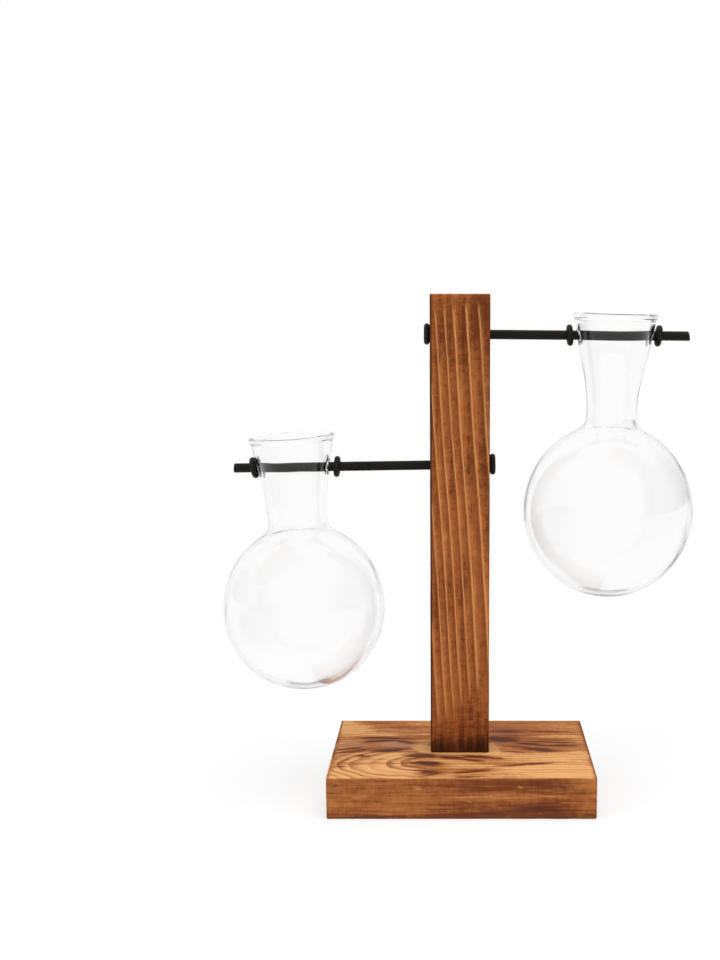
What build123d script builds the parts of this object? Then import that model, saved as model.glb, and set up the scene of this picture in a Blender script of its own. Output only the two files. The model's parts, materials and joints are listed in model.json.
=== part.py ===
from build123d import *

import math
import os

# A charred pine stand with two sloping steel rods. A blown glass bulb vase hangs on each rod,
# between rubber rings. Millimetres, +Z up, X along the slab's long side, Y away from the front.
# The origin is the middle of the slab's underside.

# Slab base
base_width = 104.0
base_depth = 70.0
base_thickness = 17.0
base_edge_round = 0.8

# Post, standing on the slab a little left of its middle
post_width = 23.5
post_depth = 14.5
post_height = 183.0
post_shift = 0.6
post_edge_round = 0.6

# Two countersunk screws, driven up through the slab into the post
screw_length = 42.0
screw_tip_length = 6.0
screw_tip_share = 0.25
screw_shank_diameter = 3.6
screw_head_diameter = 7.2
screw_head_height = 2.4
screw_head_sink = 0.4
screw_spacing = 11.0
screw_recess_length = 4.2
screw_recess_width = 1.1
screw_recess_depth = 1.4
screw_hole_clearance = 0.15
pilot_clearance = 0.03

# Rods, driven through the post: the upper one reaches right from below the post's top,
# the lower one left from above the slab
rod_diameter = 3.75
rod_end_round = 0.4
rod_fit = 0.02
upper_rod_drop = 15.6
upper_rod_reach = 90.0
upper_rod_droop_angle = 0.48
lower_rod_rise = 116.1
lower_rod_reach = 89.6
lower_rod_droop_angle = 0.87

# Rubber rings on the rods, which tip a little with the glass that they stand against
ring_cord_diameter = 2.3
ring_fit = 0.03
post_ring_gap = 0.05
upper_outer_ring_gap = 0.8
lower_outer_ring_gap = 0.25
inner_ring_gap = 1.5
upper_outer_ring_tilt_angle = 5.0
lower_outer_ring_tilt_angle = 11.0
inner_ring_tilt_angle = 4.0

# Glass common to both vases
glass_wall = 1.3
glass_floor_thickness = 2.8
rim_bead_diameter = 2.3
rim_flare_share = 0.2
hole_clearance = 1.3
hole_seat_gap = 0.12

# Upper vase: the waist stands above the bulb's top by its rise, the rim by the neck's length,
# and the rod holes are below the rim by their drop
upper_bulb_radius = 33.45
upper_bulb_half_height = 34.6
upper_foot_radius = 5.0
upper_waist_radius = 9.95
upper_waist_rise = 4.9
upper_neck_radius = 14.7
upper_neck_length = 41.9
upper_hole_drop = 8.4
upper_rim_radius = 16.7
upper_shoulder_round = 5.5
upper_vase_reach = 60.6
upper_lean_share = 0.22

# Lower vase, blown with a shorter and wider neck
lower_bulb_radius = 32.3
lower_bulb_half_height = 33.2
lower_foot_radius = 5.0
lower_waist_radius = 11.9
lower_waist_rise = 3.4
lower_neck_radius = 14.2
lower_neck_length = 34.8
lower_hole_drop = 12.1
lower_rim_radius = 17.0
lower_shoulder_round = 5.0
lower_vase_reach = 65.8
lower_lean_share = 0.53

# How far every cut runs past the faces that it opens
cut_overrun = 1.0

upper_rod_height = base_thickness + post_height - upper_rod_drop
lower_rod_height = base_thickness + lower_rod_rise
rod_radius = rod_diameter / 2
ring_cord_radius = ring_cord_diameter / 2
rim_bead_radius = rim_bead_diameter / 2
hole_radius = rod_radius + hole_clearance
hole_play = hole_clearance - hole_seat_gap
screw_shank_radius = screw_shank_diameter / 2
screw_head_radius = screw_head_diameter / 2
half_turn = 180
quarter_turn = 90

from_below = (Align.CENTER, Align.CENTER, Align.MIN)
upper_arm = Pos(-post_shift, 0, upper_rod_height) * Rot(0, upper_rod_droop_angle, 0)
lower_arm = Pos(-post_shift, 0, lower_rod_height) * Rot(0, 0, half_turn) * Rot(0, lower_rod_droop_angle, 0)
screw_places = [Pos(-post_shift + side * screw_spacing / 2, 0, screw_head_sink) for side in (-1, 1)]


def countersunk_form(clearance, length, end_length):
    """Round body of a countersunk screw, head down, grown by a clearance, with a pointed end."""
    shank = screw_shank_radius + clearance
    head = Cone(screw_head_radius + clearance, shank, screw_head_height, align=from_below)
    body = Cylinder(shank, length - end_length, align=from_below)
    point = Cone(shank, shank * screw_tip_share, end_length, align=from_below)
    return head + body + Pos(0, 0, length - end_length) * point


def base_slab():
    """Slab with eased edges and two countersunk screw holes."""
    slab = Box(base_width, base_depth, base_thickness, align=from_below)
    slab = fillet(slab.edges(), base_edge_round)
    shank = screw_shank_radius + screw_hole_clearance
    head = screw_head_radius + screw_hole_clearance
    mouth_depth = screw_head_sink + cut_overrun
    for place in screw_places:
        shank_hole = Cylinder(shank, base_thickness + cut_overrun, align=from_below)
        sink = Cone(head, shank, screw_head_height, align=from_below)
        mouth = Pos(0, 0, -mouth_depth) * Cylinder(head, mouth_depth, align=from_below)
        slab -= place * (shank_hole + sink + mouth)
    return slab


def post():
    """Post with eased edges, two pilot holes in its foot and a sloping bore for each rod."""
    blank = Box(post_width, post_depth, post_height, align=from_below)
    upright = blank.edges().filter_by(Axis.Z) + blank.faces().sort_by(Axis.Z)[-1].edges()
    piece = Pos(-post_shift, 0, base_thickness) * fillet(upright, post_edge_round)
    pilot = countersunk_form(pilot_clearance, screw_length + pilot_clearance, screw_tip_length)
    bore = Rot(0, quarter_turn, 0) * Cylinder(rod_radius + rod_fit, post_width + 2 * cut_overrun)
    for place in screw_places:
        piece -= place * pilot
    for arm in (upper_arm, lower_arm):
        piece -= arm * bore
    return piece


def base_screws():
    """The two screws, each with a crossed recess in its head."""
    screw = countersunk_form(0, screw_length, screw_tip_length)
    for turn in (0, quarter_turn):
        screw -= Rot(0, 0, turn) * Box(
            screw_recess_length, screw_recess_width, 2 * screw_recess_depth
        )
    return Compound(children=[place * screw for place in screw_places])


def rod(reach):
    """Rod along +X from the far side of the post, flush with the ring there, both ends eased."""
    tail = post_width / 2 + post_ring_gap + ring_cord_diameter
    bar = Cylinder(rod_radius, tail + reach, align=from_below)
    bar = fillet(bar.edges().filter_by(GeomType.CIRCLE), rod_end_round)
    return Pos(-tail, 0, 0) * Rot(0, quarter_turn, 0) * bar


def ring(place, tilt):
    """Rubber ring on the rod at a distance from the post's axis, tipped about the level cross line."""
    middle_radius = (rod_radius + ring_fit + ring_cord_radius) / math.cos(math.radians(tilt))
    return Pos(place, 0, 0) * Rot(0, quarter_turn + tilt, 0) * Torus(middle_radius, ring_cord_radius)


def glass_form(inset, bulb_radius, bulb_half_height, level_radius, waist, neck, rim, shoulder_round):
    """Solid of a vase's outside, or of its hollow when inset by the wall.

    The outline runs from a level of its own radius on the axis, round the bulb to the shoulder,
    straight up to the waist and along the neck's flare to the rim. The shoulder is rounded.
    """
    across = bulb_radius - inset
    along = bulb_half_height - inset
    waist_radius = waist[0] - inset
    level = -along * math.sqrt(1 - (level_radius / across) ** 2)
    start_angle = math.degrees(math.atan2(level / along, level_radius / across))
    join_angle = math.degrees(math.acos(waist_radius / across))
    join_height = along * math.sin(math.radians(join_angle))
    waist_point = (waist_radius, waist[1])
    neck_point = (neck[0] - inset, neck[1])
    rim_point = (rim[0] - inset, rim[1])
    flare = [(0, 1), (rim_flare_share, 1)]
    outline = [
        Line((0, level), (level_radius, level)),
        EllipticalCenterArc((0, 0), across, along, start_angle, arc_size=join_angle - start_angle),
        Line((waist_radius, join_height), waist_point),
        Spline(waist_point, neck_point, rim_point, tangents=flare),
        Line(rim_point, (0, rim[1])),
        Line((0, rim[1]), (0, level)),
    ]
    form = revolve(Plane.XZ * make_face(outline), Axis.Z)
    circles = form.edges().filter_by(GeomType.CIRCLE)
    join = circles.sort_by(lambda edge: abs(edge.center().Z - join_height))[0]
    return fillet(join, shoulder_round + inset)


def vase(bulb_radius, bulb_half_height, foot_radius, waist, neck, rim, shoulder_round):
    """Vase about its own axis: bulb, flaring neck, rolled rim and a rod hole in each side."""
    rim_wall = (rim[0] - rim_bead_radius + glass_wall / 2, rim[1])
    bulb = (bulb_radius, bulb_half_height)
    sizes = (waist, neck, rim_wall, shoulder_round)
    outside = glass_form(0, *bulb, foot_radius, *sizes)
    floor_share = 1 - (glass_floor_thickness - glass_wall) / (bulb_half_height - glass_wall)
    floor_radius = (bulb_radius - glass_wall) * math.sqrt(1 - floor_share ** 2)
    hollow = glass_form(glass_wall, *bulb, floor_radius, *sizes)
    bead = Pos(0, 0, rim[1]) * Torus(rim[0] - rim_bead_radius, rim_bead_radius)
    cross_hole = Rot(0, quarter_turn, 0) * Cylinder(hole_radius, 2 * (neck[0] + rim[0]))
    return outside - hollow + bead - Pos(0, 0, neck[1]) * cross_hole


def hung(vase_solid, reach, neck, lean_share):
    """Vase on its rod, tipped outwards by a share of the play in its holes."""
    lean = math.asin(lean_share * hole_play / neck[0])
    hang = hole_play * (1 - lean_share)
    return Pos(reach, 0, -hang) * Rot(0, math.degrees(lean), 0) * Pos(0, 0, -neck[1]) * vase_solid


def wall_slope(neck, rim, lean_share, side):
    """Angle of the neck's wall from square to the rod: side 1 is the outer wall, -1 the inner one."""
    flare = math.atan2(rim[0] - rim_bead_radius + glass_wall / 2 - neck[0], rim[1] - neck[1])
    lean = math.asin(lean_share * hole_play / neck[0])
    return flare + side * lean


def ring_place(reach, neck, rim, lean_share, side, tilt, gap):
    """Distance along the rod at which a tipped ring stands a gap away from the neck's wall."""
    slope = wall_slope(neck, rim, lean_share, side)
    tip = math.radians(tilt)
    middle_radius = (rod_radius + ring_fit + ring_cord_radius) / math.cos(tip)
    rise = middle_radius * (math.cos(tip) * math.tan(slope) - math.sin(tip))
    return reach + side * (neck[0] + rise + (gap + ring_cord_radius) / math.cos(slope))


upper_waist = (upper_waist_radius, upper_bulb_half_height + upper_waist_rise)
upper_rim = (upper_rim_radius, upper_bulb_half_height + upper_neck_length)
upper_neck = (upper_neck_radius, upper_rim[1] - upper_hole_drop)
lower_waist = (lower_waist_radius, lower_bulb_half_height + lower_waist_rise)
lower_rim = (lower_rim_radius, lower_bulb_half_height + lower_neck_length)
lower_neck = (lower_neck_radius, lower_rim[1] - lower_hole_drop)

upper_vase = vase(
    upper_bulb_radius, upper_bulb_half_height, upper_foot_radius,
    upper_waist, upper_neck, upper_rim, upper_shoulder_round,
)
lower_vase = vase(
    lower_bulb_radius, lower_bulb_half_height, lower_foot_radius,
    lower_waist, lower_neck, lower_rim, lower_shoulder_round,
)
post_ring_place = -post_width / 2 - post_ring_gap - ring_cord_radius
upper_hang = (upper_vase_reach, upper_neck, upper_rim, upper_lean_share)
lower_hang = (lower_vase_reach, lower_neck, lower_rim, lower_lean_share)
upper_outer_place = ring_place(*upper_hang, 1, upper_outer_ring_tilt_angle, upper_outer_ring_gap)
upper_inner_place = ring_place(*upper_hang, -1, inner_ring_tilt_angle, inner_ring_gap)
lower_outer_place = ring_place(*lower_hang, 1, lower_outer_ring_tilt_angle, lower_outer_ring_gap)
lower_inner_place = ring_place(*lower_hang, -1, inner_ring_tilt_angle, inner_ring_gap)

pieces = {
    "base_slab": base_slab(),
    "post": post(),
    "base_screws": base_screws(),
    "upper_rod": upper_arm * rod(upper_rod_reach),
    "upper_post_ring": upper_arm * ring(post_ring_place, 0),
    "upper_inner_ring": upper_arm * ring(upper_inner_place, -inner_ring_tilt_angle),
    "upper_vase": upper_arm * hung(upper_vase, upper_vase_reach, upper_neck, upper_lean_share),
    "upper_outer_ring": upper_arm * ring(upper_outer_place, upper_outer_ring_tilt_angle),
    "lower_rod": lower_arm * rod(lower_rod_reach),
    "lower_post_ring": lower_arm * ring(post_ring_place, 0),
    "lower_inner_ring": lower_arm * ring(lower_inner_place, -inner_ring_tilt_angle),
    "lower_vase": lower_arm * hung(lower_vase, lower_vase_reach, lower_neck, lower_lean_share),
    "lower_outer_ring": lower_arm * ring(lower_outer_place, lower_outer_ring_tilt_angle),
}

os.makedirs("parts", exist_ok=True)
for name, piece in pieces.items():
    export_step(piece, f"parts/{name}.step")
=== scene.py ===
"""Propagation vase: two blown bulbs hung on a charred pine stand, dressed for a studio picture."""
import bisect
import json
import logging
import math
from dataclasses import dataclass, field
from enum import Enum
from functools import cached_property
from typing import Mapping, Sequence, Union

import bpy
from mathutils import Matrix, Vector, noise


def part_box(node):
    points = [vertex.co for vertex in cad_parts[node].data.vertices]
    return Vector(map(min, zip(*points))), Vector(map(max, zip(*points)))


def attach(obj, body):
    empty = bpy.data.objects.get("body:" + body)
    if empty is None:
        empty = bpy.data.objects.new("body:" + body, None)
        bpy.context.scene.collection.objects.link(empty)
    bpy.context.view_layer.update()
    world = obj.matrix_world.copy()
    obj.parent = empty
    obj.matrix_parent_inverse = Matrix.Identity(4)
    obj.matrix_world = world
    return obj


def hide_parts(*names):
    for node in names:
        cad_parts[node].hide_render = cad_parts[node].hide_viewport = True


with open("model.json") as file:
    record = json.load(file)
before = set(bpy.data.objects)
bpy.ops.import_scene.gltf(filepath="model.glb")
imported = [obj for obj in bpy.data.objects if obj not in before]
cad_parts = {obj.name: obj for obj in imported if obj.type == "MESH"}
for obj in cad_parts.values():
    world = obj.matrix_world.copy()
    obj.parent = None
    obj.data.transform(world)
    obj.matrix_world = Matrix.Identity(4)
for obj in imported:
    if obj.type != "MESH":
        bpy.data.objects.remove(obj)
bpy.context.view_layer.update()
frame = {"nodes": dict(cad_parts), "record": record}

log = logging.getLogger("propagation_vase")

MM = 0.001
FULL_TURN = 2.0 * math.pi
IDENTITY = Matrix.Identity(4)
NOISE_SPREAD = (0.28, 0.72)
SQUARE = ((0, 0), (1, 0), (1, 1), (0, 1))
STAND_BODY = "stand"
WHITE = (1.0, 1.0, 1.0)

Colour = tuple[float, float, float]
Place = tuple[float, float, float]
Point = tuple[float, float]
Spot = tuple[float, float, float, float, float, float]


def smoothstep(low: float, high: float, value: float) -> float:
    """Return a smooth step from 0 at low to 1 at high."""
    share = min(max((value - low) / (high - low), 0.0), 1.0)
    return share * share * (3.0 - 2.0 * share)


@dataclass(frozen=True)
class Fade:
    """A smooth change from nothing at one place to full strength at another, which may lie lower."""

    start: float
    full: float
    strength: float = 1.0

    def at(self, value: float) -> float:
        """Return how strong it is at a place."""
        return self.strength * smoothstep(self.start, self.full, value)


def waver(x: float, y: float, z: float) -> float:
    """Return smooth noise at a place, from -1 to 1."""
    return noise.noise(Vector((x, y, z)))


def arc(centre: Sequence[float], reach: Point, start: float, end: float, steps: int) -> list[Point]:
    """Trace an arc of an ellipse.

    Args:
        centre: its middle.
        reach: its half width and half height.
        start: the angle where it starts, in radians.
        end: the angle where it ends.
        steps: how many steps it has.

    Returns:
        Its points, one more than the steps.
    """
    turns = [start + (end - start) * step / steps for step in range(steps + 1)]
    return [(centre[0] + reach[0] * math.cos(t), centre[1] + reach[1] * math.sin(t)) for t in turns]


class Signal:
    """A shader socket that carries a number, with arithmetic that adds Math nodes."""

    def __init__(self, graph: "Graph", socket: bpy.types.NodeSocket | None) -> None:
        """Keep the graph and the socket."""
        self.graph = graph
        self.socket = socket

    def _math(self, operation: str, *operands: "Value") -> "Signal":
        """Return the result of one Math node on these operands, in order."""
        return self.graph.node("ShaderNodeMath", {"operation": operation}, dict(enumerate(operands)))

    def __add__(self, other: "Value") -> "Signal":
        """Return self + other."""
        return self._math("ADD", self, other)

    def __radd__(self, other: "Value") -> "Signal":
        """Return other + self."""
        return self._math("ADD", other, self)

    def __sub__(self, other: "Value") -> "Signal":
        """Return self - other."""
        return self._math("SUBTRACT", self, other)

    def __rsub__(self, other: "Value") -> "Signal":
        """Return other - self."""
        return self._math("SUBTRACT", other, self)

    def __mul__(self, other: "Value") -> "Signal":
        """Return self * other."""
        return self._math("MULTIPLY", self, other)

    def __rmul__(self, other: "Value") -> "Signal":
        """Return other * self."""
        return self._math("MULTIPLY", other, self)

    def fraction(self) -> "Signal":
        """Return the part after the whole number."""
        return self._math("FRACT", self)

    def floor(self) -> "Signal":
        """Return the whole number below."""
        return self._math("FLOOR", self)

    def highest(self, other: "Value") -> "Signal":
        """Return the larger of the two."""
        return self._math("MAXIMUM", self, other)

    def swing(self, weight: "Value") -> "Signal":
        """Return how far a share lies from one half, times a weight."""
        return (self - 0.5) * weight

    def step(self, low: float, high: float) -> "Signal":
        """Return a smooth step from 0 at low to 1 at high."""
        return self.graph.node("ShaderNodeMapRange", {"interpolation_type": "SMOOTHSTEP"},
                               {"Value": self, "From Min": low, "From Max": high})

    def band(self, start: float, full: float, fade: float, end: float) -> "Signal":
        """Return a band that rises from start to full and falls from fade to end."""
        return self.step(start, full) * (1.0 - self.step(fade, end))


Value = Union[Signal, float]


class Graph:
    """The node tree of one material or of the world."""

    def __init__(self, tree: bpy.types.NodeTree) -> None:
        """Take a tree and empty it."""
        self.tree = tree
        tree.nodes.clear()

    def node(self, kind: str, settings: Mapping[str, object], sockets: Mapping[str | int, object],
             output: str | int | None = 0) -> Signal:
        """Add a node.

        Args:
            kind: the node's type.
            settings: its properties, set first.
            sockets: values or links of its inputs, by name or place.
            output: which output is wanted, None for a node that has none.

        Returns:
            The wanted output.
        """
        made = self.tree.nodes.new(kind)
        for name, setting in settings.items():
            setattr(made, name, setting)
        for name, value in sockets.items():
            socket = made.inputs[name]
            if isinstance(value, Signal):
                self.tree.links.new(value.socket, socket)
            elif isinstance(value, tuple) and socket.type == "RGBA":
                socket.default_value = (*value, 1.0)
            else:
                socket.default_value = value
        return Signal(self, None if output is None else made.outputs[output])

    def mix(self, below: Signal | Colour, above: Colour, share: Signal) -> Signal:
        """Mix two colours.

        Args:
            below: the first colour.
            above: the second colour.
            share: how much of the second one shows.

        Returns:
            The mixed colour.
        """
        return self.node("ShaderNodeMix", {"data_type": "RGBA", "clamp_factor": True},
                         {0: share, 6: below, 7: above}, 2)

    def attribute(self, name: str) -> Signal:
        """Return a number that the mesh carries at its points."""
        return self.node("ShaderNodeAttribute", {"attribute_name": name}, {}, "Fac")

    def place(self, scale: Place = (1.0, 1.0, 1.0)) -> Signal:
        """Return the place on the object in metres, scaled by axis."""
        spot = self.node("ShaderNodeTexCoord", {}, {}, "Object")
        return self.node("ShaderNodeMapping", {"vector_type": "POINT"}, {"Vector": spot, "Scale": scale})

    def noise(self, fineness: Place, detail: float = 3.0, roughness: float = 0.55,
              distortion: float = 0.0) -> Signal:
        """Return soft noise over the object, spread over 0 to 1.

        Args:
            fineness: how fine it is along each axis, per metre.
            detail: how many finer layers it has.
            roughness: how strong these are.
            distortion: how far it is warped.

        Returns:
            The noise.
        """
        raw = self.node("ShaderNodeTexNoise", {}, {
            "Vector": self.place(fineness), "Scale": 1.0, "Detail": detail,
            "Roughness": roughness, "Distortion": distortion,
        }, "Fac")
        return raw.step(*NOISE_SPREAD)

    def ray(self, fact: str) -> Signal:
        """Return a fact about the ray that meets the surface, such as its kind or depth."""
        return self.node("ShaderNodeLightPath", {}, {}, fact)

    def bump(self, height: Signal, depth: float, strength: float) -> Signal:
        """Return a normal bent by a height, depth metres for each unit of it."""
        return self.node("ShaderNodeBump", {}, {"Height": height, "Distance": depth, "Strength": strength})


@dataclass(frozen=True)
class Finish:
    """A finish, which becomes one material."""

    name: str

    def material(self) -> bpy.types.Material:
        """Build the finish.

        Returns:
            The material.
        """
        made = bpy.data.materials.new(self.name)
        made.use_nodes = True
        graph = Graph(made.node_tree)
        graph.node("ShaderNodeOutputMaterial", {}, {"Surface": self.shader(graph)}, None)
        return made

    def shader(self, g: Graph) -> Signal:
        """Lay the finish's nodes in a graph and return its shader."""
        raise NotImplementedError


@dataclass(frozen=True)
class Grain:
    """How the layers of a board's grain show, by the way it was sawn."""

    long_axis: int
    fibre_fineness: float
    streak_jitter: float
    mottle_jitter: float
    fibre_tone: float
    mottle_tone: float
    mottle_calm: float
    ripple_tone: float
    saw_tone: float
    line_height: float


class Sawing(Enum):
    """How a board was cut from the log, which sets how its growth lines lie."""

    FLAT = Grain(long_axis=0, fibre_fineness=1200.0, streak_jitter=0.14, mottle_jitter=0.06, fibre_tone=0.28,
                 mottle_tone=0.14, mottle_calm=0.0, ripple_tone=0.06, saw_tone=0.14, line_height=-0.5)
    RIFT = Grain(long_axis=2, fibre_fineness=1900.0, streak_jitter=0.05, mottle_jitter=0.05, fibre_tone=0.22,
                 mottle_tone=0.34, mottle_calm=0.16, ripple_tone=0.17, saw_tone=0.10, line_height=0.7)


@dataclass(frozen=True)
class CharredPine(Finish):
    """Pine that was scorched and brushed, so that its growth lines stand out."""

    sawing: Sawing
    pale: Colour
    warm: Colour
    deep: Colour
    line: Colour
    late_share: float
    scorch: Colour
    soot: Colour
    ashen: Colour = (0.43, 0.21, 0.145)

    def shader(self, g: Graph) -> Signal:
        """Lay the wood's nodes: its grain, its growth lines, its colour and its relief.

        Args:
            g: the material's graph.

        Returns:
            The shader.
        """
        grain = self.sawing.value
        char, plain = g.attribute("char"), g.attribute("plain")
        fibre = g.noise(self._by_grain(45.0, grain.fibre_fineness), 4.0, 0.65)
        streak = g.noise(self._by_grain(16.0, 330.0), 4.0, 0.62)
        cloud = g.noise(self._by_grain(26.0, 70.0), 4.0, 0.60, 0.6)
        mottle = g.noise(self._by_grain(330.0, 420.0), 5.0, 0.70)
        ripple = g.noise(self._by_grain(1300.0, 330.0), 3.0, 0.60)

        count = g.attribute("ring") + streak.swing(grain.streak_jitter) + mottle.swing(grain.mottle_jitter)
        share, whole = count.fraction(), count.floor()
        strength = g.node("ShaderNodeTexWhiteNoise", {"noise_dimensions": "1D"}, {"W": whole}, "Value")
        fade = 1.0 - plain
        if self.sawing is Sawing.FLAT:
            late = share.band(0.10, 0.92, 0.93, 1.0) * (0.30 + 0.70 * strength) * fade
            line = share.band(0.35, 0.82, 0.88, 1.0) * (0.14 + 0.44 * strength) * fade
            line = line * (0.25 + 0.75 * (streak * 0.6 + cloud * 0.4))
        else:
            fade = fade * (1.0 - char.step(0.15, 0.75))
            late = share.band(0.20, 0.95, 0.96, 1.0) * (1.0 - 0.6 * plain)
            line = share.band(0.0, 0.035, 0.12, 0.19) * (0.72 + 0.28 * strength) * (0.62 + 0.38 * cloud)
            line = (line * (0.70 + 0.30 * ripple) + share.band(0.10, 0.14, 0.16, 0.50) * 0.13) * fade

        tone = g.attribute("toast") + cloud.swing(0.46 - 0.26 * plain) + streak.swing(0.34 - 0.15 * plain)
        tone = tone + fibre.swing(grain.fibre_tone) + ripple.swing(grain.ripple_tone)
        tone = tone + mottle.swing(grain.mottle_tone - grain.mottle_calm * plain)
        tone = tone + (ripple * 0.5 + mottle * 0.3 + fibre * 0.2).swing(grain.saw_tone) * plain
        colour = g.mix(self.pale, self.warm, tone.step(0.0, 0.5))
        colour = g.mix(colour, self.deep, tone.step(0.45, 1.05))
        colour = g.mix(colour, self.deep, late * self.late_share)
        colour = g.mix(colour, self.line, line * (0.70 + 0.30 * mottle))
        colour = g.mix(colour, self.ashen, g.attribute("bloom") * (0.45 + 0.45 * streak))
        # Worn top edges are painted pale in this mottle: partly rubbed wear, partly a painted highlight
        # where light catches them.
        wear_and_highlight_mottle = (cloud * 0.5 + mottle * 0.5).step(0.30, 0.65)
        colour = g.mix(colour, self.pale, g.attribute("worn") * wear_and_highlight_mottle * 0.8)
        patch = (cloud * 0.25 + streak * 0.40 + fibre * 0.35).swing(1.1)
        burnt = char + patch * char.step(0.0, 0.35)
        colour = g.mix(colour, self.scorch, burnt.step(0.02, 0.70) * 0.94)
        colour = g.mix(colour, self.soot, burnt.step(0.45, 1.10) * 0.90)
        colour = g.mix(colour, self.soot, (fibre * 0.6 + streak * 0.4).step(0.78, 0.98) * 0.35)

        height = line * grain.line_height + fibre * 0.40 + mottle * 0.25 + ripple * 0.15
        return g.node("ShaderNodeBsdfPrincipled", {}, {
            "Base Color": colour,
            "Roughness": 0.66 + fibre.swing(0.14) - line * 0.08 + mottle.swing(0.10),
            "Normal": g.bump(height, 0.16 * MM, 0.8),
            "Specular IOR Level": 0.10,
        })

    def _by_grain(self, along: float, across: float) -> Place:
        """Return a fineness by axis from one along the grain and one across it."""
        axis = self.sawing.value.long_axis
        return tuple(along if number == axis else across for number in range(3))


@dataclass(frozen=True)
class SatinPaint(Finish):
    """Black satin paint on drawn steel wire."""

    name: str = "satin_black_paint"
    dark: Colour = (0.0035, 0.0030, 0.0022)
    lifted: Colour = (0.011, 0.0095, 0.0070)
    bare: Colour = (0.12, 0.115, 0.105)

    def shader(self, g: Graph) -> Signal:
        """Lay the paint's nodes, with small chips at the worn ends.

        Args:
            g: the material's graph.

        Returns:
            The shader.
        """
        peel = g.noise((2600.0,) * 3, 2.0)
        drawn = g.noise((60.0, 2200.0, 2200.0))
        chip = (g.noise((900.0,) * 3, 3.0, 0.7) * 0.7 + g.attribute("worn") * 0.30).step(0.88, 0.96)
        colour = g.mix(self.dark, self.lifted, peel * 0.5 + drawn * 0.5)
        return g.node("ShaderNodeBsdfPrincipled", {}, {
            "Base Color": g.mix(colour, self.bare, chip * 0.7),
            "Roughness": 0.36 + drawn.swing(0.12) + peel.swing(0.06),
            "Metallic": chip * 0.8,
            "Normal": g.bump(peel * 0.6 + drawn * 0.4 - chip * 0.7, 0.04 * MM, 0.7),
            "Specular IOR Level": 0.11,
        })


@dataclass(frozen=True)
class BlackRubber(Finish):
    """Moulded black rubber, matt and a little dusty."""

    name: str = "moulded_black_rubber"
    dark: Colour = (0.0055, 0.0052, 0.0046)
    dusty: Colour = (0.018, 0.017, 0.0155)

    def shader(self, g: Graph) -> Signal:
        """Lay the rubber's nodes, a little smoother on the moulding seam.

        Args:
            g: the material's graph.

        Returns:
            The shader.
        """
        skin = g.noise((3800.0,) * 3, 3.0, 0.6)
        dust = g.noise((420.0,) * 3, 4.0, 0.65)
        seam = g.attribute("seam")
        powder = (dust * 0.8 + skin * 0.2).step(0.45, 0.95) * 0.7 + seam * 0.25
        return g.node("ShaderNodeBsdfPrincipled", {}, {
            "Base Color": g.mix(self.dark, self.dusty, powder),
            "Roughness": 0.58 + dust.swing(0.14) - seam * 0.1,
            "Normal": g.bump(skin, 0.05 * MM, 0.7),
            "Specular IOR Level": 0.20,
        })


@dataclass(frozen=True)
class ZincPlate(Finish):
    """Bright zinc on small steel screws."""

    name: str = "zinc_plated_steel"
    bright: Colour = (0.62, 0.62, 0.60)
    dull: Colour = (0.36, 0.35, 0.32)

    def shader(self, g: Graph) -> Signal:
        """Lay the zinc's nodes, spangled and a little stained.

        Args:
            g: the material's graph.

        Returns:
            The shader.
        """
        spangle = g.node("ShaderNodeTexVoronoi", {"feature": "F1"}, {"Vector": g.place(), "Scale": 2200.0},
                         "Distance")
        stain = g.noise((500.0,) * 3, 4.0, 0.6)
        return g.node("ShaderNodeBsdfPrincipled", {}, {
            "Base Color": g.mix(self.bright, self.dull, stain * 0.8),
            "Metallic": 1.0,
            "Roughness": 0.28 + stain * 0.22 + spangle * 0.1,
            "Normal": g.bump(spangle + stain, 0.03 * MM, 0.6),
        })


@dataclass(frozen=True)
class BlownGlass(Finish):
    """Clear blown glass: faintly streaked, with lamps let through, and grey at grazing edges as painted
    shade that stands in for reflections of darker surroundings.
    """

    clear: Colour = (0.985, 0.985, 0.985)
    # Grey of the painted shade at grazing edges.
    edge: Colour = (0.36, 0.36, 0.37)
    shadow: Colour = (0.93, 0.93, 0.93)
    gloss: Colour = (0.46, 0.46, 0.46)
    # Grey for rays caught in the wall: painted shade along the rim and walls.
    caught: Colour = (0.42, 0.42, 0.43)
    bend: float = 1.50

    def shader(self, g: Graph) -> Signal:
        """Lay the glass's nodes. Rays caught in the wall pass on through grey, a painted shade that outlines
        the rim and walls; rays of light and shade pass as clear.

        Args:
            g: the material's graph.

        Returns:
            The shader.
        """
        facing = g.node("ShaderNodeLayerWeight", {}, {"Blend": 0.5}, "Facing")
        streak = g.noise((60.0, 60.0, 14.0), 3.0, 0.5, 0.8)
        smear = g.noise((75.0,) * 3, 4.0, 0.6)
        first = 1.0 - g.ray("Ray Depth").step(0.5, 1.5)
        body = g.node("ShaderNodeBsdfPrincipled", {}, {
            # Painted shade: grey at grazing edges on first hits, standing in for reflections of darker
            # surroundings.
            "Base Color": g.mix(self.clear, self.edge, facing.step(0.76, 1.0) * first),
            "Roughness": smear.step(0.65, 1.0) * 0.02,
            "Normal": g.bump(streak, 0.06 * MM, 0.35),
            "IOR": self.bend,
            "Specular Tint": self.gloss,
            "Transmission Weight": 1.0,
        })
        # Painted shade: after three reflections in the wall a ray passes on through the grey tint.
        caught = g.ray("Glossy Depth").step(2.5, 3.5)
        lit = g.ray("Is Shadow Ray").highest(g.ray("Is Diffuse Ray"))
        for share, tint in ((caught, self.caught), (lit, self.shadow)):
            through = g.node("ShaderNodeBsdfTransparent", {}, {"Color": tint})
            body = g.node("ShaderNodeMixShader", {}, {0: share, 1: body, 2: through})
        return body


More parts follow.
